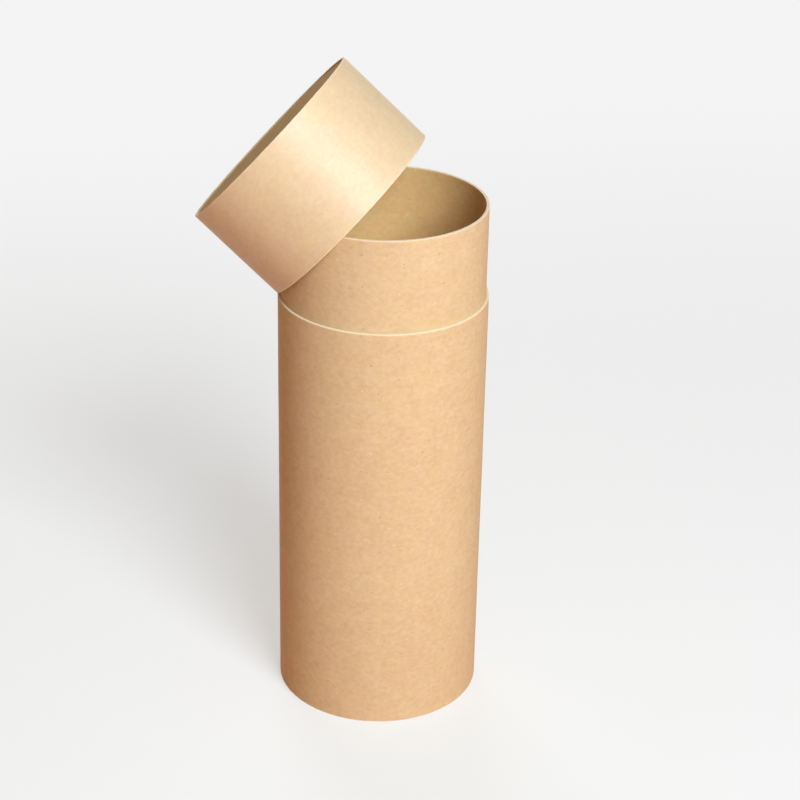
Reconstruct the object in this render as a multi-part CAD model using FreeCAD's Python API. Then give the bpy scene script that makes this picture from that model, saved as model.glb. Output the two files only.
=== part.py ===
import FreeCAD, Part
import math
import os

# A round kraft-board box: a tall body with a telescoping neck, and the lid that slides over the neck,
# taken off and left leaning across the neck's mouth. Millimetres, +Z up, origin on the body's axis at
# the plane that the box stands on. The lid leans towards the -X side.

# Body and neck
body_radius = 40.0  # outside
body_height = 169.0
body_wall = 1.0
neck_rise = 36.2  # from the body's rim to the neck's rim
neck_wall = 1.2
glue_line = 0.05  # gap left for the paste between two glued faces

# Lid
lid_length = 41.7  # outside, from the mouth to the closed end
lid_wall = 1.0
lid_clearance = 0.25  # radial, between the lid's bore and the neck

# End discs, set a little inside the tubes' cut ends
disc_thickness = 2.0
disc_recess = 0.6

# Finish of the board
cut_edge = 0.2  # corners broken where the wall is cut across
lap_width = 8.0  # where the outer wrap overlaps its own start
lap_thickness = 0.15  # one ply of the wrap
lap_ramp = 3.0  # length over which the ply climbs on to its start
lap_bite = 0.3  # how deep the ply's strip is merged into the wall
body_lap_azimuth = 82.0  # degrees about the body's axis, on the far side
lid_lap_azimuth = -82.0  # degrees about the lid's axis, measured from its foot

# How the lid leans
lean_azimuth = 168.75  # degrees about +Z, the way the lid's closed end points
foot_clearance = 0.05  # between the lid's foot and the neck's wall
rest_gap = 0.02  # between the lid's foot and the body's rim
side_gap = 0.08  # left each side where the lid's bore comes down on the neck's rim

# Worked out from the sizes above
body_bore = body_radius - body_wall
neck_radius = body_bore - glue_line
neck_bore = neck_radius - neck_wall
neck_bottom = disc_recess + disc_thickness + glue_line
neck_top = body_height + neck_rise
lid_bore = neck_radius + lid_clearance
lid_radius = lid_bore + lid_wall

UP = FreeCAD.Vector(0, 0, 1)
AXIS_POINT = FreeCAD.Vector(0, 0, 0)


def turned(inner, outer, bottom, top):
    """A solid of revolution with a rectangular section."""
    corners = [(inner, bottom), (outer, bottom), (outer, top), (inner, top), (inner, bottom)]
    outline = Part.makePolygon([FreeCAD.Vector(r, 0, z) for r, z in corners])
    return Part.Face(outline).revolve(AXIS_POINT, UP, 360)


def broken_corner(wall):
    """The size of the broken corners of a cut end, kept to what the wall can hold."""
    return min(cut_edge, 0.3 * wall)


def wound_tube(bore, radius, bottom, top, cut_ends):
    """A straight wound tube, cut square at both ends, with broken corners at the cut ends that show."""
    tube = turned(bore, radius, bottom, top)
    circles = [edge for edge in tube.Edges if isinstance(edge.Curve, Part.Circle)]
    rims = [edge for edge in circles if edge.Curve.Center.z in cut_ends]
    return tube.makeChamfer(broken_corner(radius - bore), rims)


def punched_disc(radius, bottom):
    """A flat disc of board, punched to fit inside a tube."""
    return turned(0.0, radius, bottom, bottom + disc_thickness)


def on_circle(radius, degrees, height):
    angle = math.radians(degrees)
    return FreeCAD.Vector(radius * math.cos(angle), radius * math.sin(angle), height)


def arc(radius, start, end, height):
    """A circular edge about the Z axis, from start to end in degrees."""
    points = [on_circle(radius, a, height) for a in (start, 0.5 * (start + end), end)]
    return Part.Arc(*points).toShape()


def wrap_lap(radius, bottom, top, azimuth):
    """The strip where the outer ply overlaps its start: a sharp end on one side, a ramp on the other."""
    low = bottom + cut_edge
    high = top - cut_edge
    inside = radius - lap_bite
    outside = radius + lap_thickness
    width = math.degrees(lap_width / radius)
    ramp = math.degrees(lap_ramp / radius)
    start, end, foot = azimuth, azimuth + width, azimuth + width + ramp
    edges = [
        arc(inside, start, foot, low),
        Part.makeLine(on_circle(inside, foot, low), on_circle(outside, end, low)),
        arc(outside, end, start, low),
        Part.makeLine(on_circle(outside, start, low), on_circle(inside, start, low)),
    ]
    return Part.Face(Part.Wire(edges)).extrude(UP * (high - low))


def foot_radius(tilt):
    """Distance of the foot's outer corner from the body's axis: its inner corner just clears the neck."""
    return neck_radius + foot_clearance + lid_wall * math.sin(tilt)


def room_beside_neck(tilt):
    """How much wider the lid's mouth is than the neck, where the neck's rim passes through the mouth.

    Both are compared as squared half-widths. The value is zero where the bore's two sides stand
    side_gap away from the rim, and negative where they would cut into it.
    """
    mouth_out = foot_radius(tilt) - lid_radius * math.sin(tilt)
    mouth_up = lid_radius * math.cos(tilt)
    rise = neck_rise - mouth_up
    rim_out = mouth_out - rise * math.tan(tilt)
    along_mouth = rise / math.cos(tilt)
    lid_half_width = (lid_bore - side_gap) ** 2 - along_mouth ** 2
    neck_half_width = neck_radius ** 2 - rim_out ** 2
    return lid_half_width - neck_half_width


def resting_tilt():
    """The lid tips towards the neck until its sides meet the rim: the steepest tilt with room left."""
    low, high = 0.0, math.radians(89.0)
    for _ in range(60):
        middle = 0.5 * (low + high)
        if room_beside_neck(middle) > 0:
            low = middle
        else:
            high = middle
    return low


def lean(lid_piece):
    """Move a piece of the upright lid (mouth at Z = 0) to where the lid leans."""
    tilt = resting_tilt()
    corner_lift = broken_corner(lid_wall) * min(math.sin(tilt), math.cos(tilt))
    out = foot_radius(tilt) - lid_radius * math.sin(tilt)
    up = body_height + rest_gap - corner_lift + lid_radius * math.cos(tilt)
    piece = lid_piece.copy()
    piece.rotate(AXIS_POINT, FreeCAD.Vector(0, 1, 0), 90.0 - math.degrees(tilt))
    piece.translate(FreeCAD.Vector(out, 0, up))
    piece.rotate(AXIS_POINT, UP, lean_azimuth)
    return piece


def body_tube():
    tube = wound_tube(body_bore, body_radius, 0.0, body_height, (0.0, body_height))
    return tube.fuse(wrap_lap(body_radius, 0.0, body_height, body_lap_azimuth))


def neck_tube():
    return wound_tube(neck_bore, neck_radius, neck_bottom, neck_top, (neck_top,))


def base_disc():
    return punched_disc(body_bore - glue_line, disc_recess)


def lid_tube():
    tube = wound_tube(lid_bore, lid_radius, 0.0, lid_length, (0.0, lid_length))
    return lean(tube.fuse(wrap_lap(lid_radius, 0.0, lid_length, lid_lap_azimuth)))


def lid_disc():
    return lean(punched_disc(lid_bore - glue_line, lid_length - disc_recess - disc_thickness))


pieces = {
    "body_tube": body_tube(),
    "neck_tube": neck_tube(),
    "base_disc": base_disc(),
    "lid_tube": lid_tube(),
    "lid_disc": lid_disc(),
}

os.makedirs("parts", exist_ok=True)
for name, shape in pieces.items():
    shape.exportStep(f"parts/{name}.step")
    box = shape.BoundBox
    print(f"{name}: {len(shape.Solids)} solid, valid {shape.isValid()}, {shape.Volume / 1000:.2f} cm3, "
          f"X {box.XMin:.1f} to {box.XMax:.1f}, Y {box.YMin:.1f} to {box.YMax:.1f}, "
          f"Z {box.ZMin:.1f} to {box.ZMax:.1f}")
print(f"lid's axis stands {math.degrees(resting_tilt()):.2f} degrees above level")
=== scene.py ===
# %% [markdown]
# # A round kraft box with its lid leaning on the neck
#
# The real object is three wound tubes and two punched discs. A long outer tube is the body. A longer and
# slightly narrower tube is pasted inside it and stands out at the top as a neck, and a short tube with a
# disc pasted in one end is the lid. A last disc closes the bottom.
#
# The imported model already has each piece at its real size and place, so it is loaded first and nothing in
# it is moved. What it lacks is what this lesson makes: the plies in a cut edge, the softened corners, the
# small waves of a wound wall, and the look of kraft paper.

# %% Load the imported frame
import math

import bmesh
import bpy
from mathutils import Matrix, Vector, noise


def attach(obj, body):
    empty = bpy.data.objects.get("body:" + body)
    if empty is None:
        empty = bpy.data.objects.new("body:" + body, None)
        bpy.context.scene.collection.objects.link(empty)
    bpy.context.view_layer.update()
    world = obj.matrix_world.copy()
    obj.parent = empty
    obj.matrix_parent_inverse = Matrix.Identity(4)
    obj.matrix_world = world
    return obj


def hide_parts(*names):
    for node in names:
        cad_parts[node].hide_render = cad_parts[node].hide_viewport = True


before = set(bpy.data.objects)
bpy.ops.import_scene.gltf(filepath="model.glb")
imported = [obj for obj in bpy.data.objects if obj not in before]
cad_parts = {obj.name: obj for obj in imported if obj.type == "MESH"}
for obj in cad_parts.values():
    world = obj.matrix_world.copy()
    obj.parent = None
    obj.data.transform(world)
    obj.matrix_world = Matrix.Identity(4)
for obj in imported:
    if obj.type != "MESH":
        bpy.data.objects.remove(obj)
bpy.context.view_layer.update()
MM = 0.001  # one millimetre in metres


def in_mm(values, digits=1):
    return [round(value / MM, digits) for value in values]


print("nodes:", sorted(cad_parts))

# %% [markdown]
# ## The camera
#
# The view looks down on the box from the front, a little under thirty degrees, with a long lens so that the
# tube's sides stay almost parallel. A camera can be aimed with a constraint, but three plain turns are
# easier to read: level and forward, then pitched down, then swung sideways, with the small roll of a
# hand-held camera applied first, about the lens.

# %% Camera
camera_place = Vector((-0.00179, -0.74307, 0.49500))
camera_yaw = math.radians(0.6892)
camera_pitch = math.radians(26.5981)
camera_roll = math.radians(1.1979)


def add_to_scene(name, data):
    """Makes an object of this mesh, lamp or lens and puts it in the scene."""
    thing = bpy.data.objects.new(name, data)
    bpy.context.scene.collection.objects.link(thing)
    return thing


lens = bpy.data.cameras.new("camera")
lens.sensor_width = 36.0
lens.lens = 96.411
lens.clip_start = 0.05
lens.clip_end = 20.0
camera = add_to_scene("camera", lens)
aim = Matrix.Rotation(-camera_yaw, 4, "Z") @ Matrix.Rotation(0.5 * math.pi - camera_pitch, 4, "X")
camera.matrix_world = Matrix.Translation(camera_place) @ aim @ Matrix.Rotation(camera_roll, 4, "Z")
bpy.context.scene.camera = camera
print("camera distance to the origin, mm:", round(camera_place.length / MM))

# %% [markdown]
# ## How the lid leans
#
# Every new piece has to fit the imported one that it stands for. The body stands upright, so its axis is
# known, but the lid leans, and its axis has to be found first. The widest flat face of its disc lies square
# to that axis. With the axis known, "towards the foot" is the direction within the disc that points down
# most, and the third direction follows from the two. Together they make the matrix that stands an upright
# lid in its place.

# %% Find the lid's axis
upright = Matrix()
DOWN = Vector((0, 0, -1))


def points_of(node):
    return [vertex.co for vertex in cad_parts[node].data.vertices]


def middle(points, direction):
    """How far along a direction the middle of these points lies."""
    along = [point.dot(direction) for point in points]
    return 0.5 * (min(along) + max(along))


def lid_placing():
    """The matrix that takes a lid standing on its mouth at Z = 0 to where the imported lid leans."""
    flat = max(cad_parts["lid_disc"].data.polygons, key=lambda face: face.area)
    axis = flat.normal.copy()
    if axis.z < 0:
        axis.negate()
    foot = (axis * axis.z + DOWN).normalized()
    side = axis.cross(foot)
    disc = points_of("lid_disc")
    mouth = min(point.dot(axis) for point in points_of("lid_tube"))
    centre = foot * middle(disc, foot) + side * middle(disc, side) + axis * mouth
    return Matrix.Translation(centre) @ Matrix((foot, side, axis)).transposed().to_4x4()


lid_place = lid_placing()
print(f"lid's axis is {math.degrees(math.asin(lid_place.col[2].z)):.1f} degrees above level")

# %% [markdown]
# ## Sizes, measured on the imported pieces
#
# The sizes could be typed again here, but then a later change to the model would leave this file behind. So
# each one is measured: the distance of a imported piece's corners from its own axis gives its bore and
# radius, and their height gives its two ends. The corners that stand out farthest are on the overlap of the
# wound sheet, so they tell where it starts.

# %% Measure the pieces
LAP = 0.15 * MM  # how far the overlap of the wound sheet stands out from the wall


def measured(node, placing=upright):
    """Bore, radius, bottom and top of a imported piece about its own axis, and where its overlap starts."""
    here = placing.inverted()
    points = [here @ point for point in points_of(node)]
    radii = [math.hypot(point.x, point.y) for point in points]
    heights = [point.z for point in points]
    outermost = max(radii) - 0.1 * LAP
    overlap = [math.atan2(point.y, point.x) for point, radius in zip(points, radii) if radius > outermost]
    return min(radii), max(radii), min(heights), max(heights), min(overlap)


body_bore, body_radius, body_foot, body_top, body_overlap = measured("body_tube")
lid_bore, lid_radius, lid_mouth, lid_top, lid_overlap = measured("lid_tube", lid_place)
neck_bore, neck_radius, neck_bottom, neck_top, _ = measured("neck_tube")
body_radius -= LAP
lid_radius -= LAP
body_sizes = (body_bore, body_radius, body_foot, body_top)
neck_sizes = (neck_bore, neck_radius, neck_bottom, neck_top)
lid_sizes = (lid_bore, lid_radius, lid_mouth, lid_top)
for title, sizes in (("body", body_sizes), ("neck", neck_sizes), ("lid", lid_sizes)):
    print(title, "bore, radius, bottom and top, mm:", in_mm(sizes, 2))

# %% [markdown]
# ## A wound tube
#
# The real tube is a long strip of board wound round a steel core in three plies, then cut to length with a
# round knife. It could be modelled as a cylinder with a boolean hole, but that leaves long thin faces and
# no control over the edge. Here the wall's section, a thin upright rectangle, is spun round the axis,
# because a spin gives clean rings and columns that later steps can pick out by their direction.

# %% Spin the section of a wall
COLUMNS = 360  # how many columns of faces go round a tube, or one for each degree
FULL_TURN = 2 * math.pi
MERGE = 1e-7  # metres: corners nearer than this become one


def spun(outline, closed):
    """Spins a section, given as (radius, height) corners, a full turn about Z."""
    bm = bmesh.new()
    corners = [bm.verts.new((radius, 0.0, height)) for radius, height in outline]
    pairs = list(zip(corners, corners[1:]))
    if closed:
        pairs.append((corners[-1], corners[0]))
    edges = [bm.edges.new(pair) for pair in pairs]
    bmesh.ops.spin(
        bm, geom=corners + edges, cent=(0, 0, 0), axis=(0, 0, 1), dvec=(0, 0, 0),
        angle=FULL_TURN, steps=COLUMNS, use_merge=True,
    )
    bmesh.ops.remove_doubles(bm, verts=bm.verts, dist=MERGE)
    bmesh.ops.recalc_face_normals(bm, faces=bm.faces)
    return bm


def wall_section(bore, radius, bottom, top):
    return [(bore, bottom), (radius, bottom), (radius, top), (bore, top)]


trial = spun(wall_section(*body_sizes), closed=True)
print("section spun:", len(trial.verts), "corners,", len(trial.faces), "faces")

# %% [markdown]
# ## Picking out parts of a tube
#
# In the editor, edges are picked by clicking on them. A script asks where they are instead. On a spun wall
# that is easy, because every edge runs up, in towards the axis or round it, and a circle is known by its
# radius and its height.
#
# The upright edges are for cutting the wall into rings, so that it can be made to wave a little. One more
# ring is cut close to each end with bisect_plane: it holds the smooth shading of the wall flat right up to
# the corner.

# %% Pick out edges
SAME = 1e-6  # metres: places nearer than this count as the same
MOSTLY_UP = 0.5  # the share of an edge's length that goes upwards, at least
MOSTLY_IN = 0.9  # the share that goes towards the axis, at least


def reach(vertex):
    """How far a vertex is from the axis."""
    return math.hypot(vertex.co.x, vertex.co.y)


def is_at(vertex, radius, height):
    return abs(reach(vertex) - radius) < SAME and abs(vertex.co.z - height) < SAME


def edges_by_direction(bm):
    """The upright edges, and those that run straight in towards the axis."""
    upright_edges, inward_edges = [], []
    for edge in bm.edges:
        a, b = edge.verts
        if abs(a.co.z - b.co.z) > MOSTLY_UP * edge.calc_length():
            upright_edges.append(edge)
        elif abs(reach(a) - reach(b)) > MOSTLY_IN * edge.calc_length():
            inward_edges.append(edge)
    return upright_edges, inward_edges


def circle_at(bm, radius, height):
    """The edges of the circle with this radius and height."""
    return [edge for edge in bm.edges if all(is_at(vertex, radius, height) for vertex in edge.verts)]


def ring_cut(bm, height):
    everything = bm.verts[:] + bm.edges[:] + bm.faces[:]
    bmesh.ops.bisect_plane(bm, geom=everything, dist=MERGE, plane_co=(0, 0, height), plane_no=(0, 0, 1))


upright_edges, inward_edges = edges_by_direction(trial)
print(len(upright_edges), "edges run up,", len(inward_edges), "run in, and the rest run round")
print("the rim's outer circle has", len(circle_at(trial, body_radius, body_top)), "edges")
trial.free()

# %% [markdown]
# ## The cut end: three plies and two soft corners
#
# Where the knife has gone through, the end shows the plies as fine concentric lines, slightly open where
# the paste has pulled away, and the two corners are bruised round. The lines could be painted, but up close
# a painted line gives no shadow. So each line is a real groove: the end's inward edges are subdivided at
# the joints between plies, the circles there are bevelled into narrow strips, and the strip's middle is
# sunk. The corners are bevelled with three segments. The outer one takes the knocks and is rounder; the
# inner one was held by the winding core, and stays crisp.

# %% Groove and soften a cut end
PLIES = 3
PLY_GROOVE = 0.035 * MM  # half its width
PLY_SINK = 0.05 * MM
SOFT_CORNER = 0.22 * MM
CRISP_CORNER = 0.07 * MM


def bevel_circle(bm, radius, height, size, segments):
    """Bevels the circle with this radius and height."""
    bmesh.ops.bevel(
        bm, geom=circle_at(bm, radius, height), offset=size, offset_type="OFFSET", segments=segments,
        profile=0.5, affect="EDGES", material=-1, clamp_overlap=True,
    )


def open_plies(bm, bore, radius, end, inwards):
    """Cuts the joints between plies into the flat end at this height. inwards is +1 or -1 along Z."""
    inward_edges = edges_by_direction(bm)[1]
    flat = [edge for edge in inward_edges if all(abs(vertex.co.z - end) < SAME for vertex in edge.verts)]
    bmesh.ops.subdivide_edges(bm, edges=flat, cuts=PLIES - 1)
    for joint in range(1, PLIES):
        joint_radius = bore + (radius - bore) * joint / PLIES
        bevel_circle(bm, joint_radius, end, PLY_GROOVE, segments=2)
        for vertex in bm.verts:
            if is_at(vertex, joint_radius, end):
                vertex.co.z += inwards * PLY_SINK


def soften(bm, radius, end, size):
    """Rounds the corner circle at this radius and height."""
    bevel_circle(bm, radius, end, size, segments=3)


print("a cut end has", PLIES - 1, "grooves,", round(2 * PLY_GROOVE / MM, 3), "mm wide")

# %% [markdown]
# ## The whole wall
#
# A wall is spun, cut into rings, and finished at the ends that show. An end that is hidden stays plain: no
# one sees the foot of the neck, inside the body. At last the wall is turned, so that its first column
# stands where the sheet starts.

# %% Build a wall
HELD = 0.6 * MM  # the supporting ring's distance from the end


def wall(sizes, rings, cut_ends, start):
    """A tube's wall with its rings, its plies open and its corners soft at the ends that show."""
    bore, radius, bottom, _ = sizes
    bm = spun(wall_section(*sizes), closed=True)
    bmesh.ops.subdivide_edges(bm, edges=edges_by_direction(bm)[0], cuts=rings, use_grid_fill=True)
    for end in cut_ends:
        inwards = 1 if end == bottom else -1
        ring_cut(bm, end + inwards * HELD)
        open_plies(bm, bore, radius, end, inwards)
        soften(bm, radius, end, SOFT_CORNER)
        soften(bm, bore, end, CRISP_CORNER)
    bmesh.ops.rotate(bm, verts=bm.verts, cent=(0, 0, 0), matrix=Matrix.Rotation(start, 3, "Z"))
    return bm


trial = wall(lid_sizes, rings=1, cut_ends=(lid_mouth, lid_top), start=0.0)
print("a short wall with both ends finished:", len(trial.faces), "faces")

# %% [markdown]
# ## The overlap at the back
#
# The outermost sheet ends on top of its own start, which leaves a low step from end to end of the tube. It
# is turned away at the back here. Columns that the mesh already has make it: the last one is drawn up close
# to the first, to give the sheet a crisp end, and those from the first on are lifted by one sheet's
# thickness and come back down over a few millimetres. Moving the columns keeps the mesh closed, where a
# separate strip would not.

# %% Lift the overlap
OVERLAP_WIDTH = 8.0 * MM
OVERLAP_RAMP = 3.0 * MM
STEP_WIDTH = 0.12 * MM
OUTER_SKIN = 1.01 * SOFT_CORNER  # deep enough to take in the rounded corners
ROUNDING = 1e-5  # radians: so that the first column isn't taken for the last


def turn_of(point, start):
    """The angle from start to a point about Z, from 0 to a full turn."""
    return (math.atan2(point.y, point.x) - start) % FULL_TURN


def lift_overlap(bm, radius, start):
    """Lifts the overlap on the outside of a tube whose first column stands at the angle start."""
    column = FULL_TURN / COLUMNS
    for vertex in [vertex for vertex in bm.verts if reach(vertex) > radius - OUTER_SKIN]:
        turn = turn_of(vertex.co, start)
        if abs(turn - FULL_TURN + column) < 0.1 * column:
            vertex.co = Matrix.Rotation(column - STEP_WIDTH / radius, 3, "Z") @ vertex.co
            continue
        along = (turn + ROUNDING) % FULL_TURN * radius
        share = min(1.0, (OVERLAP_WIDTH + OVERLAP_RAMP - along) / OVERLAP_RAMP)
        if share > 0:
            vertex.co.xy *= 1 + share * LAP / radius


print("overlap starts at", round(math.degrees(body_overlap)), "degrees about the body's axis")

# %% [markdown]
# ## Unevenness
#
# Nothing wound from paper is quite true. The wall waves by less than a tenth of a millimetre over the width
# of a finger, and the cut end is nibbled. Both come from smooth noise, read at each corner's own place, so
# that neighbouring corners move together and the result is the same at every run. Everything moves into the
# board and never out of it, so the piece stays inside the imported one. Where a wall is pasted to another it
# can't wave, so each side says from what height it is free.

# %% Wear a tube in
WAVE_LENGTH = 27.0 * MM
WAVE_DEPTH = 0.09 * MM
NIBBLE_LENGTH = 2.6 * MM
NIBBLE_DEPTH = 0.09 * MM
NIBBLE_REACH = 0.9 * MM
COARSE_NIBBLES, FINE_NIBBLES = 0.65, 0.35  # how much of the depth each has
FREE_RUN = 12.0 * MM  # length over which the waves grow beyond a pasted stretch
ALL_FREE, ALL_PASTED = -1.0, 1.0  # heights in metres, below and above everything


def clamped(value):
    return min(1.0, max(0.0, value))


def drift(point, length, seed):
    """Smooth noise from 0 to 1 that changes over this length."""
    return clamped(0.5 + 0.6 * noise.noise(point / length + Vector((seed, 2.3 * seed, 0.7))))


def nibble(point, seed):
    """How much of the full depth the cut end is nibbled at this point, from 0 to 1."""
    coarse = drift(point, NIBBLE_LENGTH, seed + 3)
    fine = drift(point, 0.3 * NIBBLE_LENGTH, seed + 5)
    return COARSE_NIBBLES * coarse + FINE_NIBBLES * fine


def wear_in(bm, sizes, cut_ends, seed, free):
    """Waves both sides of the wall into the board, and nibbles the cut ends.

    free is the height above which the outer wall is free to wave, and the same for the inner wall.
    """
    bore, radius, bottom, _ = sizes
    halfway = 0.5 * (bore + radius)
    for vertex in bm.verts:
        place = vertex.co.copy()
        inner = reach(vertex) < halfway
        freedom = clamped((place.z - free[inner]) / FREE_RUN)
        waved = freedom * WAVE_DEPTH * drift(place, WAVE_LENGTH, seed) / radius
        vertex.co.xy *= 1 + waved if inner else 1 - waved
        for end in cut_ends:
            near = 1 - abs(place.z - end) / NIBBLE_REACH
            if near > 0:
                inwards = 1 if end == bottom else -1
                vertex.co.z += inwards * near * NIBBLE_DEPTH * nibble(place, seed)


every_centimetre = [Vector((body_radius, 0.0, 10 * MM * step)) for step in range(6)]
waves = [WAVE_DEPTH * drift(point, WAVE_LENGTH, 1.0) for point in every_centimetre]
print("waves up the body, one for each centimetre, mm:", in_mm(waves, 3))

# %% [markdown]
# ## Two maps for each piece
#
# Paper is made as a flat sheet, and its fibres lie in that sheet. A pattern read at the piece's place in
# space would cut through the wall like stone, so each piece has a map named sheet that unrolls it, in
# millimetres: along the turn one way and up the wall the other. Its one seam lies on the overlap, where the
# real sheet has its seam too. The inner wall, the ends and the outer wall read different parts of the
# pattern.
#
# Which of the three a face belongs to is told by its normal: an end looks up or down, an outer wall looks
# away from the axis and an inner wall looks towards it. The same three are the piece's material slots.

# %% Sort the faces
OUTSIDE, INSIDE, END = 0, 1, 2  # the material slots of a piece
LEVEL = 0.4  # how much of a face's normal points up or down where the face is part of an end


def sort_faces(bm):
    """Gives every face its material slot: outer wall, inner wall or end."""
    bm.normal_update()
    for face in bm.faces:
        if abs(face.normal.z) > LEVEL:
            face.material_index = END
        else:
            out = face.calc_center_median().xy.dot(face.normal.xy)
            face.material_index = OUTSIDE if out > 0 else INSIDE


sort_faces(trial)
counts = [sum(face.material_index == slot for face in trial.faces) for slot in (OUTSIDE, INSIDE, END)]
print("of the short wall's faces, outside, inside and at the ends:", counts)
trial.free()

# %% [markdown]
# ## Unrolling a tube
#
# Beside the sheet map, a tube gets a second one. OFBake lays the same faces out in the unit square, so
# that each finish can be painted into one picture. Each zone of a piece gets a share of the picture's
# height, and the zones that show get the most. A low tube goes round twice, in two strips, so that its
# paint is as fine as a tall one's.
#
# Blender can unwrap a mesh by itself, but it wouldn't know that a tube has to lie flat, unstretched and the
# right way up. The angle about the axis and the height say it all, so both maps are written face by face.

# %% Unroll a tube
SHEET_SHIFT = 900.0  # millimetres of pattern between one side of the board and the next
MARGIN = 0.004  # left free round each zone of the picture


def level(point, face):
    """How far up the sheet a point lies: its height on a wall, its radius on an end, below 0 underneath."""
    if face.material_index != END:
        return point.z
    return math.hypot(point.x, point.y) * (1 if face.normal.z > 0 else -1)


def same_way_round(turn, near):
    """The same angle, give or take a full turn, so that no face tears where the count starts again."""
    return turn + FULL_TURN * round((near - turn) / FULL_TURN)


def unroll(bm, radius, start, zones, strips):
    """Adds both maps to a tube. A zone is (slot, lowest level, highest level, share of the picture)."""
    sheet = bm.loops.layers.uv.new("sheet")
    layout = bm.loops.layers.uv.new("OFBake")
    span = FULL_TURN / strips
    for face in bm.faces:
        centre = face.calc_center_median()
        here = turn_of(centre, start)
        strip = min(strips - 1, int(here / span))
        base = strip / strips
        for slot, low, high, share in zones:
            if slot == face.material_index and low <= level(centre, face) <= high:
                break
            base += share / strips
        for loop in face.loops:
            turn = same_way_round(turn_of(loop.vert.co, start), here)
            up = level(loop.vert.co, face)
            loop[sheet].uv = (turn * radius / MM + slot * SHEET_SHIFT, up / MM)
            across = clamped((turn - strip * span) / span)
            rise = clamped((up - low) / (high - low))
            loop[layout].uv = (
                MARGIN + (1 - 2 * MARGIN) * across,
                base + MARGIN + (share / strips - 2 * MARGIN) * rise,
            )


print("the body's sheet is", round(FULL_TURN * body_radius / MM), "mm round")

# %% [markdown]
# ## From a bmesh to a piece of the box
#
# A piece becomes an object once, at the end, when its shape is final. Its place is in its mesh, so the
# object itself stays at the origin, unturned, as the imported pieces do. Then it is hung on the body that
# carries it, and the imported piece that it stands for is hidden. A closed piece has every edge shared by
# just two faces, so the others are counted as a check.

# %% Make a piece
def open_edges(mesh):
    """How many edges aren't shared by exactly two faces. On a closed piece there are none."""
    uses = dict.fromkeys((edge.key for edge in mesh.edges), 0)
    for polygon in mesh.polygons:
        for key in polygon.edge_keys:
            uses[key] += 1
    return sum(1 for count in uses.values() if count != 2)


def piece(name, bm, node, placing=upright):
    """Turns a bmesh into a finished piece that stands for a packed one."""
    bm.transform(placing)
    for face in bm.faces:
        face.smooth = True
    mesh = bpy.data.meshes.new(name)
    bm.to_mesh(mesh)
    bm.free()
    mesh.uv_layers.active = mesh.uv_layers["sheet"]
    mesh.uv_layers["sheet"].active_render = True
    thing = add_to_scene(name, mesh)
    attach(thing, "root")
    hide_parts(node)
    print(f"{name}: {len(mesh.polygons)} faces, {open_edges(mesh)} open edges")
    return thing


def tube(
    name, node, sizes, rings, cut_ends, start, zones, strips, seed, overlap, free, placing=upright,
):
    """A finished tube, from its sizes, its finished ends and the angle at which its sheet starts."""
    radius = sizes[1]
    bm = wall(sizes, rings, cut_ends, start)
    sort_faces(bm)
    if overlap:
        lift_overlap(bm, radius, start)
    unroll(bm, radius, start, zones, strips)
    wear_in(bm, sizes, cut_ends, seed, free)
    return piece(name, bm, node, placing)


# %% [markdown]
# ## The body tube
#
# The body is the tallest wall and the one that shows most, so its outer face gets two thirds of its
# picture. Its inner wall is covered by the neck nearly from end to end and gets what is left.

# %% Body
body = tube(
    "kraft_body", "body_tube", body_sizes,
    rings=40, cut_ends=(body_foot, body_top), start=body_overlap,
    zones=(
        (OUTSIDE, body_foot, body_top, 0.68),
        (INSIDE, body_foot, body_top, 0.26),
        (END, 0.0, body_radius, 0.03),
        (END, -body_radius, 0.0, 0.03),
    ),
    strips=1, seed=1.0, overlap=True, free=(ALL_FREE, ALL_PASTED),
)

# %% [markdown]
# ## The neck tube
#
# The neck runs the whole way down inside the body, because that is what makes the box stiff and gives the
# paste its hold. Only its top shows outside, above the body's rim, and its inner wall shows through the
# mouth. It was wound with no wrap over it, so it has no overlap.

# %% Neck
NECK_START = math.radians(95.0)  # where its sheet map starts, at the back

neck = tube(
    "kraft_neck", "neck_tube", neck_sizes,
    rings=48, cut_ends=(neck_top,), start=NECK_START,
    zones=(
        (OUTSIDE, neck_bottom, body_top, 0.10),
        (OUTSIDE, body_top, neck_top, 0.20),
        (INSIDE, neck_bottom, neck_top, 0.64),
        (END, 0.0, neck_radius, 0.03),
        (END, -neck_radius, 0.0, 0.03),
    ),
    strips=1, seed=2.0, overlap=False, free=(body_top, ALL_FREE),
)

# %% [markdown]
# ## The lid's tube
#
# The lid's tube is wound and cut like the body, on a core that is a little wider, so that it slides over
# the neck. It is modelled standing on its mouth, where its section is easy to think about, and its mesh is
# then carried to where it leans. The overlap ends up on the far side.

# %% Lid
lid = tube(
    "kraft_lid", "lid_tube", lid_sizes,
    rings=14, cut_ends=(lid_mouth, lid_top), start=lid_overlap,
    zones=(
        (OUTSIDE, lid_mouth, lid_top, 0.66),
        (INSIDE, lid_mouth, lid_top, 0.26),
        (END, 0.0, lid_radius, 0.04),
        (END, -lid_radius, 0.0, 0.04),
    ),
    strips=2, seed=3.0, overlap=True, free=(ALL_FREE, ALL_FREE), placing=lid_place,
)

# %% [markdown]
# ## Laying a disc out
#
# A disc needs the same two maps as a tube. Its two faces are flat already, so their own X and Y will do,
# and its rim is a strip. In the picture the face that shows gets the largest round room, the back a small
# one, and the rim a band above them.

# %% Lay a disc out
FACE_ROOM = (0.32, 0.32, 0.31)  # where the face that shows lies in the picture: centre and radius
BACK_ROOM = (0.82, 0.18, 0.17)
RIM_ROOM = (0.70, 0.76)  # the rim's strip, from and to


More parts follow.
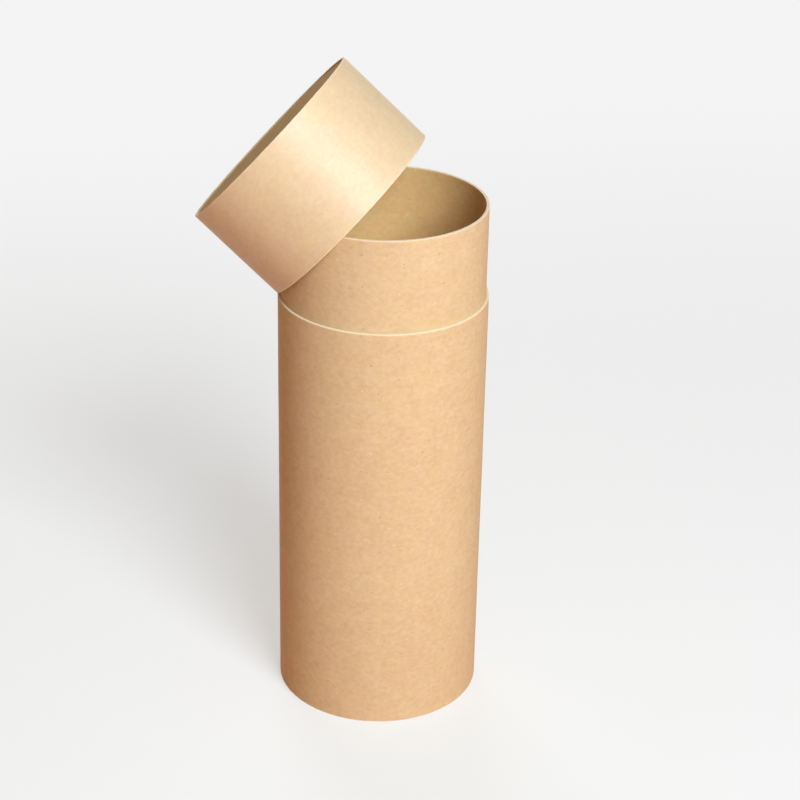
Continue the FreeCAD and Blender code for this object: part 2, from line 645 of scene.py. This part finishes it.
def lay_disc_out(bm, radius, bottom, top, shown):
    """Adds both maps to a disc: its two faces flat, and its rim as a strip."""
    sheet = bm.loops.layers.uv.new("sheet")
    layout = bm.loops.layers.uv.new("OFBake")
    for face in bm.faces:
        here = turn_of(face.calc_center_median(), 0.0)
        is_flat = abs(face.normal.z) > LEVEL
        is_shown = face.normal.z * shown > 0
        face.material_index = (OUTSIDE if is_shown else INSIDE) if is_flat else END
        for loop in face.loops:
            place = loop.vert.co
            if is_flat:
                u, v, room = FACE_ROOM if is_shown else BACK_ROOM
                loop[sheet].uv = (place.x / MM + face.material_index * SHEET_SHIFT, place.y / MM)
                loop[layout].uv = (u + room * place.x / radius, v + room * place.y / radius)
            else:
                turn = same_way_round(turn_of(place, 0.0), here)
                rise = (place.z - bottom) / (top - bottom)
                loop[sheet].uv = (turn * radius / MM + END * SHEET_SHIFT, place.z / MM)
                low, high = RIM_ROOM
                loop[layout].uv = (MARGIN + (1 - 2 * MARGIN) * turn / FULL_TURN, low + (high - low) * rise)


print("the face that shows fills", round(100 * math.pi * FACE_ROOM[2] ** 2), "percent of a disc's picture")

# %% [markdown]
# ## The two punched discs
#
# A disc is stamped from flat board. The stamp leaves both its corners a little round, and its faces are
# never quite flat afterwards: they wave by about a tenth of a millimetre. A spin makes this shape as well,
# from a section that starts and ends on the axis. All the copies of such an end corner lie at one point of
# the axis, and they are merged into one, which closes the two poles.

# %% Discs
PUNCHED_CORNER = 0.3 * MM
DISC_RINGS = 22
DISC_WAVE = 0.12 * MM


def disc(name, node, placing, shown, seed):
    """A punched disc. shown is +1 where its upper face shows and -1 where its lower one does."""
    _, radius, bottom, top, _ = measured(node, placing)
    bm = spun([(0.0, bottom), (radius, bottom), (radius, top), (0.0, top)], closed=False)
    bmesh.ops.subdivide_edges(bm, edges=edges_by_direction(bm)[1], cuts=DISC_RINGS, use_grid_fill=True)
    for end in (bottom, top):
        soften(bm, radius, end, PUNCHED_CORNER)
    bm.normal_update()
    lay_disc_out(bm, radius, bottom, top, shown)
    for vertex in bm.verts:
        inwards = 1 if vertex.co.z < 0.5 * (bottom + top) else -1
        vertex.co.z += inwards * DISC_WAVE * drift(vertex.co, WAVE_LENGTH, seed)
    return piece(name, bm, node, placing)


lid_end = disc("kraft_lid_end", "lid_disc", lid_place, shown=1, seed=4.0)
base = disc("kraft_base", "base_disc", upright, shown=-1, seed=5.0)

# %% [markdown]
# ## Short calls for shader nodes
#
# A procedural material is a small circuit: patterns made of noise, arithmetic that shapes them, and colours
# mixed by the result. In the editor each node is placed and wired by hand. Written out, the same circuit
# stays readable only if adding a node and wiring its inputs is one call, so these helpers come first.

# %% Node helpers
def node(tree, kind, values, **settings):
    """Adds a shader node. values gives inputs by name or number: a constant, or another node's output."""
    added = tree.nodes.new("ShaderNode" + kind)
    for key, setting in settings.items():
        setattr(added, key, setting)
    for key, value in values.items():
        if isinstance(value, bpy.types.NodeSocket):
            tree.links.new(value, added.inputs[key])
        else:
            added.inputs[key].default_value = value
    return added


def maths(tree, operation, *values):
    return node(tree, "Math", dict(enumerate(values)), operation=operation).outputs[0]


def ramp(tree, value, low, high):
    """0 at low and 1 at high, with a smooth run between. low may be the larger one."""
    given = {"Value": value, "From Min": low, "From Max": high}
    return node(tree, "MapRange", given, interpolation_type="SMOOTHSTEP").outputs[0]


MIX_SHARE, MIX_FIRST, MIX_SECOND, MIX_RESULT = 0, 6, 7, 2  # a Mix node's sockets when it mixes colours


def mixed(tree, share, first, second):
    """Two colours in one: only the first where share is 0, only the second where it is 1."""
    given = {MIX_SHARE: share, MIX_FIRST: first, MIX_SECOND: second}
    return node(tree, "Mix", given, data_type="RGBA").outputs[MIX_RESULT]


def laid_over(tree, colour, mask, strength, shade):
    """A colour with a shade over it, as strong as this where the mask is 1."""
    return mixed(tree, maths(tree, "MULTIPLY", mask, strength), colour, shade)


def tint(red, green, blue):
    """A colour given as a painter would read it off a swatch, 0 to 255, made linear for the shader."""
    shares = [channel / 255 for channel in (red, green, blue)]
    return tuple(x / 12.92 if x <= 0.04045 else ((x + 0.055) / 1.055) ** 2.4 for x in shares) + (1.0,)


def noise_at(tree, place, size, detail=2.0, roughness=0.5):
    """Soft noise about 0.5 whose patches are this many millimetres wide."""
    given = {"Vector": place, "Scale": 1 / size, "Detail": detail, "Roughness": roughness}
    return node(tree, "TexNoise", given, noise_dimensions="2D").outputs[0]


def moved(tree, place, shift=(0, 0, 0), turn=0.0, scale=(1, 1, 1)):
    given = {"Vector": place, "Location": shift, "Rotation": (0, 0, turn), "Scale": scale}
    return node(tree, "Mapping", given, vector_type="POINT").outputs[0]


print("a mid grey swatch, 128 of 255, is", round(tint(128, 128, 128)[0], 3), "in linear light")

# %% [markdown]
# ## Fibres
#
# Kraft paper shows its fibres: pale and brown threads, a few millimetres long, lying every way in the
# sheet. Stretched noise gives streaks, but they all run one way. Instead a Voronoi mosaic cuts the sheet
# into cells, and each cell holds one thread: the cell's own random colour turns it, bends it, and decides
# whether it is there at all. A thread is a thin smooth band about a bent line, with tapered ends.

# %% Threads
CELL_ROOM = 1.05  # how wide a cell is, in lengths of its thread
BEND = 0.9  # how far the most bent threads bow


def cells_of(tree, here, spacing):
    """A mosaic of cells: the node, which gives each cell's middle, and three chances for each, 0 to 1."""
    cells = node(tree, "TexVoronoi", {"Vector": here, "Scale": 1 / spacing}, voronoi_dimensions="2D")
    chance = node(tree, "SeparateColor", {0: cells.outputs["Color"]}).outputs
    return cells, chance


def threads(tree, place, length, width, share, seed):
    """A mask of separate bent threads. share is the part of the cells that holds one."""
    here = moved(tree, place, shift=(7.3 * seed, 11.9 * seed, 0))
    cells, chance = cells_of(tree, here, CELL_ROOM * length)
    local = node(tree, "VectorMath", {0: here, 1: cells.outputs["Position"]}, operation="SUBTRACT").outputs[0]
    angle = maths(tree, "MULTIPLY", chance[0], FULL_TURN)
    turned = node(tree, "VectorRotate", {"Vector": local, "Angle": angle}, rotation_type="Z_AXIS").outputs[0]
    along, across, _ = node(tree, "SeparateXYZ", {0: turned}).outputs
    bow = maths(tree, "MULTIPLY", maths(tree, "SUBTRACT", chance[1], 0.5), BEND / length)
    bent = maths(tree, "MULTIPLY_ADD", maths(tree, "MULTIPLY", along, along), bow, across)
    band = ramp(tree, maths(tree, "ABSOLUTE", bent), 0.5 * width, 0.1 * width)
    taper = ramp(tree, maths(tree, "ABSOLUTE", along), 0.5 * length, 0.2 * length)
    there = maths(tree, "LESS_THAN", chance[2], share)
    return maths(tree, "MULTIPLY", maths(tree, "MULTIPLY", band, taper), there)


THREAD_PALE = tint(252, 236, 206)
THREAD_BROWN = tint(160, 116, 74)
THREADS = (  # length and width in millimetres, share of the cells with one, seed, shade and strength
    (1.7, 0.13, 0.55, 1.0, THREAD_BROWN, 0.17),
    (3.2, 0.20, 0.30, 2.0, THREAD_BROWN, 0.18),
    (2.3, 0.15, 0.60, 3.0, THREAD_PALE, 0.22),
    (4.0, 0.24, 0.35, 4.0, THREAD_PALE, 0.24),
)
print("kinds of thread, mm long:", [kind[0] for kind in THREADS])

# %% [markdown]
# ## Specks
#
# Among the threads lie a few specks: brown ones of bark, and cream ones of pith. Each is a spot about the
# middle of a cell, with a ragged edge. The cell's chance is squared for its size, so most are tiny and a
# few are larger.

# %% Specks
def specks(tree, place, spacing, size, seed):
    """Small separate spots, most of them tiny and a few larger."""
    here = moved(tree, place, shift=(5.1 * seed, 3.7 * seed, 0), turn=0.4 * seed, scale=(1, 1.5, 1))
    cells, chance = cells_of(tree, here, spacing)
    local = node(tree, "VectorMath", {0: here, 1: cells.outputs["Position"]}, operation="DISTANCE").outputs[1]
    grown = maths(tree, "MULTIPLY", maths(tree, "POWER", chance[0], 2.0), size)
    ragged = maths(tree, "MULTIPLY", noise_at(tree, place, 0.3, detail=1.0), 1.2)
    return ramp(tree, maths(tree, "MULTIPLY", local, ragged), grown, maths(tree, "MULTIPLY", grown, 0.3))


BARK = tint(112, 66, 40)
PITH = tint(255, 246, 224)
SPECKS = (  # spacing and size in millimetres, seed, shade and strength
    (10.0, 0.45, 2.0, PITH, 0.32),
    (9.0, 0.40, 1.0, BARK, 0.26),
)
print("kinds of speck, up to this many mm:", [kind[1] for kind in SPECKS])

# %% [markdown]
# ## Marks in known places
#
# A few marks belong to this box and not to its paper: dabs of yellowed paste that were squeezed out where
# the neck enters the body, and the larger flecks of bark on its front. Each is an ellipse about one place
# on the sheet, with its edge broken up by noise. The place is written the way one would point at it, as an
# angle round the tube and a height, and turned into the sheet map's millimetres here. Last comes painted
# shade: a dull, greyish band all the way round the neck just above the body's rim, where the joint lies in
# shade. That one needs no place, only a height.

# %% Marks
# Each mark is (degrees about the axis from +X, height, width, tallness), the last three in millimetres.
PASTE_DABS = ((-61.1, 171.6, 11.0, 4.6), (-47.5, 171.2, 11.0, 4.0), (-78.0, 169.9, 5.0, 2.0))
NECK_FLECKS = ((-79.3, 196.0, 0.8, 0.5), (-101.5, 187.0, 1.1, 0.7), (-108.5, 186.0, 1.3, 0.6))
BODY_FLECKS = (
    (-95.8, 156.5, 0.7, 0.9), (-91.9, 145.2, 0.7, 0.6), (-114.3, 139.1, 0.8, 0.6), (-67.3, 119.8, 0.9, 0.8),
)
PASTE_FADE, FLECK_FADE = 0.9, 0.7  # the share of a mark's half-width over which it fades out
JOINT_SHADE_HEIGHT = 3.2  # millimetres above the body's rim, at the most
PASTE = tint(222, 194, 116)
# the colour of the painted shade on the neck just above the body's rim
JOINT_SHADE = tint(212, 198, 158)


def marks(tree, sheet, places, start, radius, fade):
    """A mask of the marks on a tube with this radius, whose sheet starts at the angle start."""
    ragged = maths(tree, "SUBTRACT", noise_at(tree, sheet, 1.3, detail=3.0), 0.5)
    ragged = maths(tree, "MULTIPLY", ragged, 0.9)
    total = 0.0
    for degrees, height, width, tallness in places:
        turn = (math.radians(degrees) - start) % FULL_TURN
        middle_of_mark = (turn * radius / MM, height, 0)
        centred = node(tree, "VectorMath", {0: sheet, 1: middle_of_mark}, operation="SUBTRACT")
        sized = moved(tree, centred.outputs[0], scale=(2 / width, 2 / tallness, 1))
        away = node(tree, "VectorMath", {0: sized}, operation="LENGTH").outputs[1]
        mark = ramp(tree, maths(tree, "ADD", away, ragged), 1.0, 1.0 - fade)
        total = maths(tree, "MAXIMUM", mark, total)
    return total


def body_flecks(tree, sheet):
    return marks(tree, sheet, BODY_FLECKS, body_overlap, body_radius, FLECK_FADE)


def neck_flecks(tree, sheet):
    return marks(tree, sheet, NECK_FLECKS, NECK_START, neck_radius, FLECK_FADE)


def paste_dabs(tree, sheet):
    return marks(tree, sheet, PASTE_DABS, NECK_START, neck_radius, PASTE_FADE)


# Painted shade: a band round the neck just above the body's rim, whose top is set by noise.
def painted_joint_shade(tree, sheet):
    height = node(tree, "SeparateXYZ", {0: sheet}).outputs[1]
    above = maths(tree, "SUBTRACT", height, body_top / MM)
    shade_top = maths(tree, "MULTIPLY", noise_at(tree, sheet, 5.0, detail=2.0), JOINT_SHADE_HEIGHT)
    return ramp(tree, above, shade_top, 0.0)


BODY_MARKS = ((body_flecks, 0.42, BARK),)  # mask, strength and shade
# The neck's last mark is painted shade above the body's rim, not paste.
NECK_MARKS = ((neck_flecks, 0.42, BARK), (paste_dabs, 0.45, PASTE), (painted_joint_shade, 0.60, JOINT_SHADE))
# The film of paste counted here is the painted shade above the body's rim.
print("marks:", len(PASTE_DABS), "dabs,", len(NECK_FLECKS + BODY_FLECKS), "flecks and a film of paste")

# %% [markdown]
# ## The bare paper
#
# From far to near, the paper's colour has five scales. Wide clouds drift over several centimetres, where
# the pulp lay thicker, and patches over about one. Mottling a few millimetres wide is the formation that
# shows when a sheet is held to the light. Then come the felt and the threads. Each only shifts the colour
# by a few parts in a hundred; together they are what makes it paper. Here and there the pulp is a little
# yellower as well.
#
# The felt is too fine to see thread by thread, so it is stretched noise after all, laid in three directions
# and added up. The first direction, round the tube, is the way the paper ran through its machine.

# %% Tone of the paper
BODY_PAPER = (tint(214, 182, 138), tint(234, 214, 174))  # the dark and the light end of its tone
LID_PAPER = (tint(213, 183, 141), tint(229, 208, 169))
# The inner walls' tone is warmer and more saturated than the outer paper's; in part this is painted bounce
# light from inside the tube.
LINING_AND_BOUNCE = (tint(228, 182, 119), tint(243, 209, 147))
# Darker than the paper; part of that is painted shade for the lid's closed end, which light only skims.
DISC_BOARD_AND_SHADE = (tint(201, 168, 120), tint(217, 189, 143))
PAPER_YELLOW = tint(229, 207, 152)
FELT_LENGTH, FELT_WIDTH = 1.9, 0.22  # millimetres
FELT_DIRECTIONS = ((3, 0.44), (58, 0.28), (-57, 0.28))  # degrees from the way round the tube, and share
CLOUDS, PATCHES, FORMATION, FELT = 0.22, 0.38, 0.85, 0.40  # how much each adds to the tone
TONE_SHIFT = 0.42  # taken off their sum, which brings its middle to about a half


def felt(tree, place):
    """Fine streaks in three directions, added up, about 0.5."""
    total = 0.0
    for turn, share in FELT_DIRECTIONS:
        scale = (1 / FELT_LENGTH, 1 / FELT_WIDTH, 1)
        stretched = moved(tree, place, turn=math.radians(turn), scale=scale)
        streaks = noise_at(tree, stretched, 1.0, detail=1.0)
        total = maths(tree, "MULTIPLY_ADD", streaks, share, total)
    return total


def bare_paper(tree, sheet, dark, light):
    """The paper's colour from clouds, patches, formation and felt, and the felt by itself."""
    clouds = noise_at(tree, sheet, 42.0, detail=1.0)
    patches = noise_at(tree, moved(tree, sheet, shift=(11, 70, 0), scale=(1, 1.3, 1)), 8.0, detail=1.0)
    formation = noise_at(tree, moved(tree, sheet, scale=(1, 1.5, 1)), 2.6, detail=3.0, roughness=0.6)
    fine = felt(tree, sheet)
    tone = maths(tree, "MULTIPLY", clouds, CLOUDS)
    tone = maths(tree, "MULTIPLY_ADD", patches, PATCHES, tone)
    tone = maths(tree, "MULTIPLY_ADD", formation, FORMATION, tone)
    tone = maths(tree, "MULTIPLY_ADD", fine, FELT, tone)
    tone = maths(tree, "SUBTRACT", tone, TONE_SHIFT)
    yellowed = ramp(tree, noise_at(tree, moved(tree, sheet, shift=(40, 9, 0)), 7.0, detail=2.0), 0.45, 0.75)
    return laid_over(tree, mixed(tree, tone, dark, light), yellowed, 0.25, PAPER_YELLOW), fine


print("felt:", FELT_LENGTH, "mm by", FELT_WIDTH, "mm in", len(FELT_DIRECTIONS), "directions")

# %% [markdown]
# ## Rubbed ends
#
# Within a millimetre of a cut end, handling has rubbed the surface paler. The sheet map's height says how
# far that end is. The rubbing is patchy, so noise decides how far it reaches.

# %% Rub the paper near a cut end
RUBBED = tint(246, 226, 192)
RUB_STRENGTH = 0.55
RUB_REACH = 1.5  # millimetres from the end, at the most


def rubbed_ends(tree, sheet, low, high):
    """A mask of the rubbed paper on a wall that runs from low to high, in millimetres up its sheet map."""
    height = node(tree, "SeparateXYZ", {0: sheet}).outputs[1]
    from_low = maths(tree, "SUBTRACT", height, low)
    from_high = maths(tree, "SUBTRACT", high, height)
    patchy = maths(tree, "MULTIPLY", noise_at(tree, sheet, 2.1, detail=3.0), RUB_REACH)
    return ramp(tree, maths(tree, "MINIMUM", from_low, from_high), patchy, 0.0)


print("the rubbing reaches up to", RUB_REACH, "mm from a cut end")

# %% [markdown]
# ## Kraft paper
#
# One recipe serves every face of the board: bare paper, threads and specks, the piece's own marks, and the
# rubbed ends. The felt and the pale threads also raise the surface by a few hundredths of a millimetre in
# the bump, and make it a little rougher where they stand up.
#
# A few things are left open: the paper's tone, how glossy and how smooth it is, how speckled, and which
# marks it bears. The body and the neck are wound in nearly matt paper. The lid's paper has fainter specks
# and was pressed smoother between rollers, so it takes a broad satin sheen.

# %% Kraft paper
GRAIN_HEIGHT = 0.03 * MM
THREAD_RISE = 0.35  # how far the pale threads stand up, beside the felt
GRAIN_LOW, GRAIN_HIGH = 0.6, 1.6  # the range over which the paper grows rougher
ROUGHER = 0.12  # how much rougher it is at the top of that range


def start_material(name):
    """A new material: itself, its node tree, its shader and its way into the sheet map."""
    material = bpy.data.materials.new(name)
    material.use_nodes = True
    tree = material.node_tree
    shader = tree.nodes["Principled BSDF"]
    sheet = node(tree, "UVMap", {}, uv_map="sheet").outputs[0]
    return material, tree, shader, sheet


def grain(tree, sheet, shader, raised, smooth):
    """Bump and roughness from how far the fibres stand up. smooth is the roughness of the lowest places."""
    raised = maths(tree, "MULTIPLY_ADD", noise_at(tree, sheet, 0.9, detail=3.0), 1.0, raised)
    bump = node(tree, "Bump", {"Strength": 0.5, "Distance": GRAIN_HEIGHT, "Height": raised})
    given = {"Value": raised, "From Min": GRAIN_LOW, "From Max": GRAIN_HIGH}
    rough = node(tree, "MapRange", given | {"To Min": smooth, "To Max": smooth + ROUGHER})
    tree.links.new(rough.outputs[0], shader.inputs["Roughness"])
    tree.links.new(bump.outputs[0], shader.inputs["Normal"])


def kraft(name, low, high, paper=BODY_PAPER, gloss=0.28, smooth=0.72, speckled=1.0, marked=()):
    """Kraft paper on a wall that runs from low to high, in millimetres up its sheet map."""
    material, tree, shader, sheet = start_material(name)
    colour, fine = bare_paper(tree, sheet, *paper)
    pale = []
    for length, width, share, seed, shade, strength in THREADS:
        mask = threads(tree, sheet, length, width, share, seed)
        colour = laid_over(tree, colour, mask, strength, shade)
        if shade == THREAD_PALE:
            pale.append(mask)
    for spacing, size, seed, shade, strength in SPECKS:
        mask = specks(tree, sheet, spacing, size, seed)
        colour = laid_over(tree, colour, mask, strength * speckled, shade)
    for mark, strength, shade in marked:
        colour = laid_over(tree, colour, mark(tree, sheet), strength, shade)
    colour = laid_over(tree, colour, rubbed_ends(tree, sheet, low, high), RUB_STRENGTH, RUBBED)
    raised = maths(tree, "MULTIPLY_ADD", maths(tree, "ADD", *pale), THREAD_RISE, fine)
    grain(tree, sheet, shader, raised, smooth)
    tree.links.new(colour, shader.inputs["Base Color"])
    shader.inputs["Specular IOR Level"].default_value = gloss
    return material


print("grain stands up to", round(GRAIN_HEIGHT / MM, 3), "mm in the bump")

# %% [markdown]
# ## The cut edge of the board
#
# The knife opens the board, and the edge is paler and rougher than the face. The plies run along it as
# long streaks, torn rather than cut, with a brown line of old paste at each joint. The radius, which the
# sheet map holds on an end, says which ply a point is in.

# %% Cut edge
EDGE_PALE = tint(252, 238, 208)
EDGE_DARK = tint(232, 206, 164)
PASTE_LINE = tint(176, 138, 96)
LINE_REACH = 0.22  # how far a line of paste goes to each side, in plies
TEAR_LENGTH, TEAR_WIDTH = 1.6, 0.07  # millimetres


def paste_lines(tree, sheet, bore, radius):
    """A mask of the joints between plies, without the bore and the outside, which are no joints."""
    out = maths(tree, "ABSOLUTE", node(tree, "SeparateXYZ", {0: sheet}).outputs[1])
    ply = (radius - bore) / MM / PLIES
    joint = maths(tree, "PINGPONG", maths(tree, "SUBTRACT", out, bore / MM), 0.5 * ply)
    inside = ramp(tree, maths(tree, "SUBTRACT", out, bore / MM), 0.5 * ply, 0.6 * ply)
    outside = ramp(tree, maths(tree, "SUBTRACT", radius / MM, out), 0.5 * ply, 0.6 * ply)
    between = maths(tree, "MULTIPLY", inside, outside)
    return maths(tree, "MULTIPLY", ramp(tree, joint, LINE_REACH * ply, 0.0), between)


def cut_edge(name, bore, radius):
    """The end of a tube's wall between its bore and its radius."""
    material, tree, shader, sheet = start_material(name)
    stretched = moved(tree, sheet, scale=(1 / TEAR_LENGTH, 1 / TEAR_WIDTH, 1))
    torn = noise_at(tree, stretched, 1.0, detail=3.0, roughness=0.65)
    crumbs = noise_at(tree, sheet, 0.16, detail=2.0)
    tone = maths(tree, "MULTIPLY_ADD", crumbs, 0.5, maths(tree, "MULTIPLY", torn, 1.1))
    colour = mixed(tree, maths(tree, "SUBTRACT", tone, 0.1), EDGE_DARK, EDGE_PALE)
    colour = laid_over(tree, colour, paste_lines(tree, sheet, bore, radius), 0.45, PASTE_LINE)
    bump = node(tree, "Bump", {"Strength": 0.7, "Distance": 0.05 * MM, "Height": tone})
    tree.links.new(colour, shader.inputs["Base Color"])
    tree.links.new(bump.outputs[0], shader.inputs["Normal"])
    shader.inputs["Roughness"].default_value = 0.86
    shader.inputs["Specular IOR Level"].default_value = 0.25
    return material


print("a ply of the body is", round((body_radius - body_bore) / MM / PLIES, 2), "mm thick")

# %% [markdown]
# ## Dressing the pieces
#
# Each piece has three slots: the side that shows, the side behind it, and the cut end or, on a disc, the
# rim. The body and the neck also get their own marks, and their inner walls a warmer, more saturated
# brown, which is in part painted light: the warm light that bounces between the walls inside a tube. The
# lid is lined with the plain paper. The discs are punched from uncoated board without any sheen at all, so
# they stay dark when light only skims across them. Their board is darker than the paper, and part of that
# is painted shade for the lid's closed end.

# %% Dress the pieces
def dress(thing, *materials):
    for material in materials:
        thing.data.materials.append(material)
    print(thing.name, "wears", [material.name for material in materials])


body_ends = (body_foot / MM, body_top / MM)
neck_ends = (neck_bottom / MM, neck_top / MM)
lid_ends = (lid_mouth / MM, lid_top / MM)
FAR_ENDS = (-200.0, 200.0)  # beyond a disc on both sides, so that nothing on it counts as a cut end

dress(
    body,
    kraft("body_paper", *body_ends, marked=BODY_MARKS),
    kraft("body_inside", *body_ends, LINING_AND_BOUNCE),
    cut_edge("body_cut_edge", body_bore, body_radius),
)
dress(
    neck,
    kraft("neck_paper", *neck_ends, marked=NECK_MARKS),
    kraft("neck_inside", *neck_ends, LINING_AND_BOUNCE),
    cut_edge("neck_cut_edge", neck_bore, neck_radius),
)
dress(
    lid,
    kraft("lid_paper", *lid_ends, LID_PAPER, gloss=1.0, smooth=0.49, speckled=0.4),
    kraft("lid_inside", *lid_ends),
    cut_edge("lid_cut_edge", lid_bore, lid_radius),
)
# The discs' board carries painted shade for the lid's closed end.
for thing in (lid_end, base):
    dress(
        thing,
        kraft(thing.name + "_face", *FAR_ENDS, DISC_BOARD_AND_SHADE, gloss=0.0),
        kraft(thing.name + "_back", *FAR_ENDS, DISC_BOARD_AND_SHADE, gloss=0.0),
        kraft(thing.name + "_rim", *FAR_ENDS),
    )

# %% [markdown]
# ## Floor
#
# The box stands on a plain pale floor in a plain pale room.

# %% Floor
FLOOR_SIDE = 14.0

bm = bmesh.new()
bmesh.ops.create_grid(bm, x_segments=1, y_segments=1, size=0.5 * FLOOR_SIDE)
floor_mesh = bpy.data.meshes.new("floor")
bm.to_mesh(floor_mesh)
bm.free()
floor = add_to_scene("floor", floor_mesh)
print("floor:", FLOOR_SIDE, "m square")

# %% [markdown]
# ## The floor's paint
#
# A lamp strong enough to turn the floor white would burn out the box, so the floor has a little light of
# its own that is only seen, by the camera and in reflections, and never falls on anything. It lifts the
# floor and leaves the shadow on it. Farther out the floor fades into the pale wall of the room, as a
# studio's paper sweep does, so there is no horizon.
#
# The light that the floor throws back on to the box can be chosen apart from how the floor looks, with the
# same switch. It is warm here, as it would be over a table with some colour. That keeps the shaded side of
# brown paper from going grey.

# %% Paint the floor
FLOOR_COLOUR = (0.478, 0.488, 0.475, 1.0)
BOUNCE_COLOUR = (0.74, 0.35, 0.17, 1.0)
FLOOR_LIFT = 0.45
ROOM_COLOUR = (0.90, 0.90, 0.90, 1.0)
FADE_START = 0.24  # metres from the box
FADE_END = 0.85


def seen_directly(tree):
    """1 for what the camera sees, straight or by reflection, and 0 for light that falls on things."""
    path = node(tree, "LightPath", {}).outputs
    mirrored = maths(tree, "MAXIMUM", path["Is Glossy Ray"], path["Is Transmission Ray"])
    return maths(tree, "MAXIMUM", path["Is Camera Ray"], mirrored)


floor_paint = bpy.data.materials.new("floor_paint")
floor_paint.use_nodes = True
paint = floor_paint.node_tree
floor_shader = paint.nodes["Principled BSDF"]
floor_shader.inputs["Roughness"].default_value = 0.9
floor_shader.inputs["Specular IOR Level"].default_value = 0.2
shown = seen_directly(paint)
paint.links.new(mixed(paint, shown, BOUNCE_COLOUR, FLOOR_COLOUR), floor_shader.inputs["Base Color"])
lift = node(paint, "Emission", {"Color": (1, 1, 1, 1), "Strength": FLOOR_LIFT}).outputs[0]
no_light = node(paint, "Emission", {"Strength": 0.0}).outputs[0]
shown_lift = node(paint, "MixShader", {0: shown, 1: no_light, 2: lift}).outputs[0]
near_floor = node(paint, "AddShader", {0: floor_shader.outputs[0], 1: shown_lift}).outputs[0]
far_floor = node(paint, "Emission", {"Color": ROOM_COLOUR, "Strength": 1.0}).outputs[0]
place = node(paint, "TexCoord", {}).outputs["Object"]
away = node(paint, "VectorMath", {0: place}, operation="LENGTH").outputs["Value"]
faded = maths(paint, "MULTIPLY", shown, ramp(paint, away, FADE_START, FADE_END))
sweep = node(paint, "MixShader", {0: faded, 1: near_floor, 2: far_floor}).outputs[0]
paint.links.new(sweep, paint.nodes["Material Output"].inputs["Surface"])
floor.data.materials.append(floor_paint)
print("floor fades into the room from", FADE_START, "to", FADE_END, "m")

# %% [markdown]
# ## Lamps
#
# One large soft lamp at the front right models the roundness and brings out the sheen of the lid. A weak
# wide one overhead lights the cut edges and the lid's upper side. One low down behind lights the far side
# as well; being low, it hardly reaches the floor, so it casts no second shadow. The lamps are a touch cool,
# because the light that the room and the floor fill in with is warm. Together they are set so that paper
# facing the key lamp shows the colour that it was given.

# %% Lamps
LAMPS = (  # name, degrees to the right of the front, degrees up, size, distance, power
    ("key", 26.0, 37.0, 0.9, 1.7, 29.0),
    ("overhead", 10.0, 74.0, 1.3, 1.7, 2.5),
    ("behind", 192.0, 11.0, 1.1, 1.7, 17.0),
)
LAMP_COLOUR = (0.945, 1.01, 1.075)
AIM_HEIGHT = 0.12

for title, azimuth, height, size, distance, power in LAMPS:
    azimuth, height = math.radians(azimuth), math.radians(height)
    towards = Vector((
        math.sin(azimuth) * math.cos(height), -math.cos(azimuth) * math.cos(height), math.sin(height),
    ))
    lamp_data = bpy.data.lights.new(title, "AREA")
    lamp_data.shape = "DISK"
    lamp_data.size = size
    lamp_data.energy = power
    lamp_data.color = LAMP_COLOUR
    lamp = add_to_scene(title, lamp_data)
    lamp.location = Vector((0, 0, AIM_HEIGHT)) + towards * distance
    lamp.rotation_euler = towards.to_track_quat("Z", "Y").to_euler()
    print(title, "lamp at", [round(x, 2) for x in lamp.location])

# %% [markdown]
# ## The room
#
# The world is two rooms in one, with the same switch as the floor. What is seen is a plain pale wall all
# round. What falls on the box is a weak warm fill, so that nothing goes black.

# %% Room
ROOM_LIGHT = 0.135
ROOM_FILL = (1.0, 0.62, 0.35, 1.0)

world = bpy.data.worlds.new("room")
bpy.context.scene.world = world
world.use_nodes = True
sky = world.node_tree
fill = sky.nodes["Background"]
fill.inputs["Color"].default_value = ROOM_FILL
fill.inputs["Strength"].default_value = ROOM_LIGHT
seen = node(sky, "Background", {"Color": ROOM_COLOUR, "Strength": 1.0})
choice = node(sky, "MixShader", {0: seen_directly(sky), 1: fill.outputs[0], 2: seen.outputs[0]})
sky.links.new(choice.outputs[0], sky.nodes["World Output"].inputs["Surface"])
bpy.context.scene.view_settings.view_transform = "Standard"
print("room fills in with a strength of", ROOM_LIGHT, "and is seen at", ROOM_COLOUR[0])
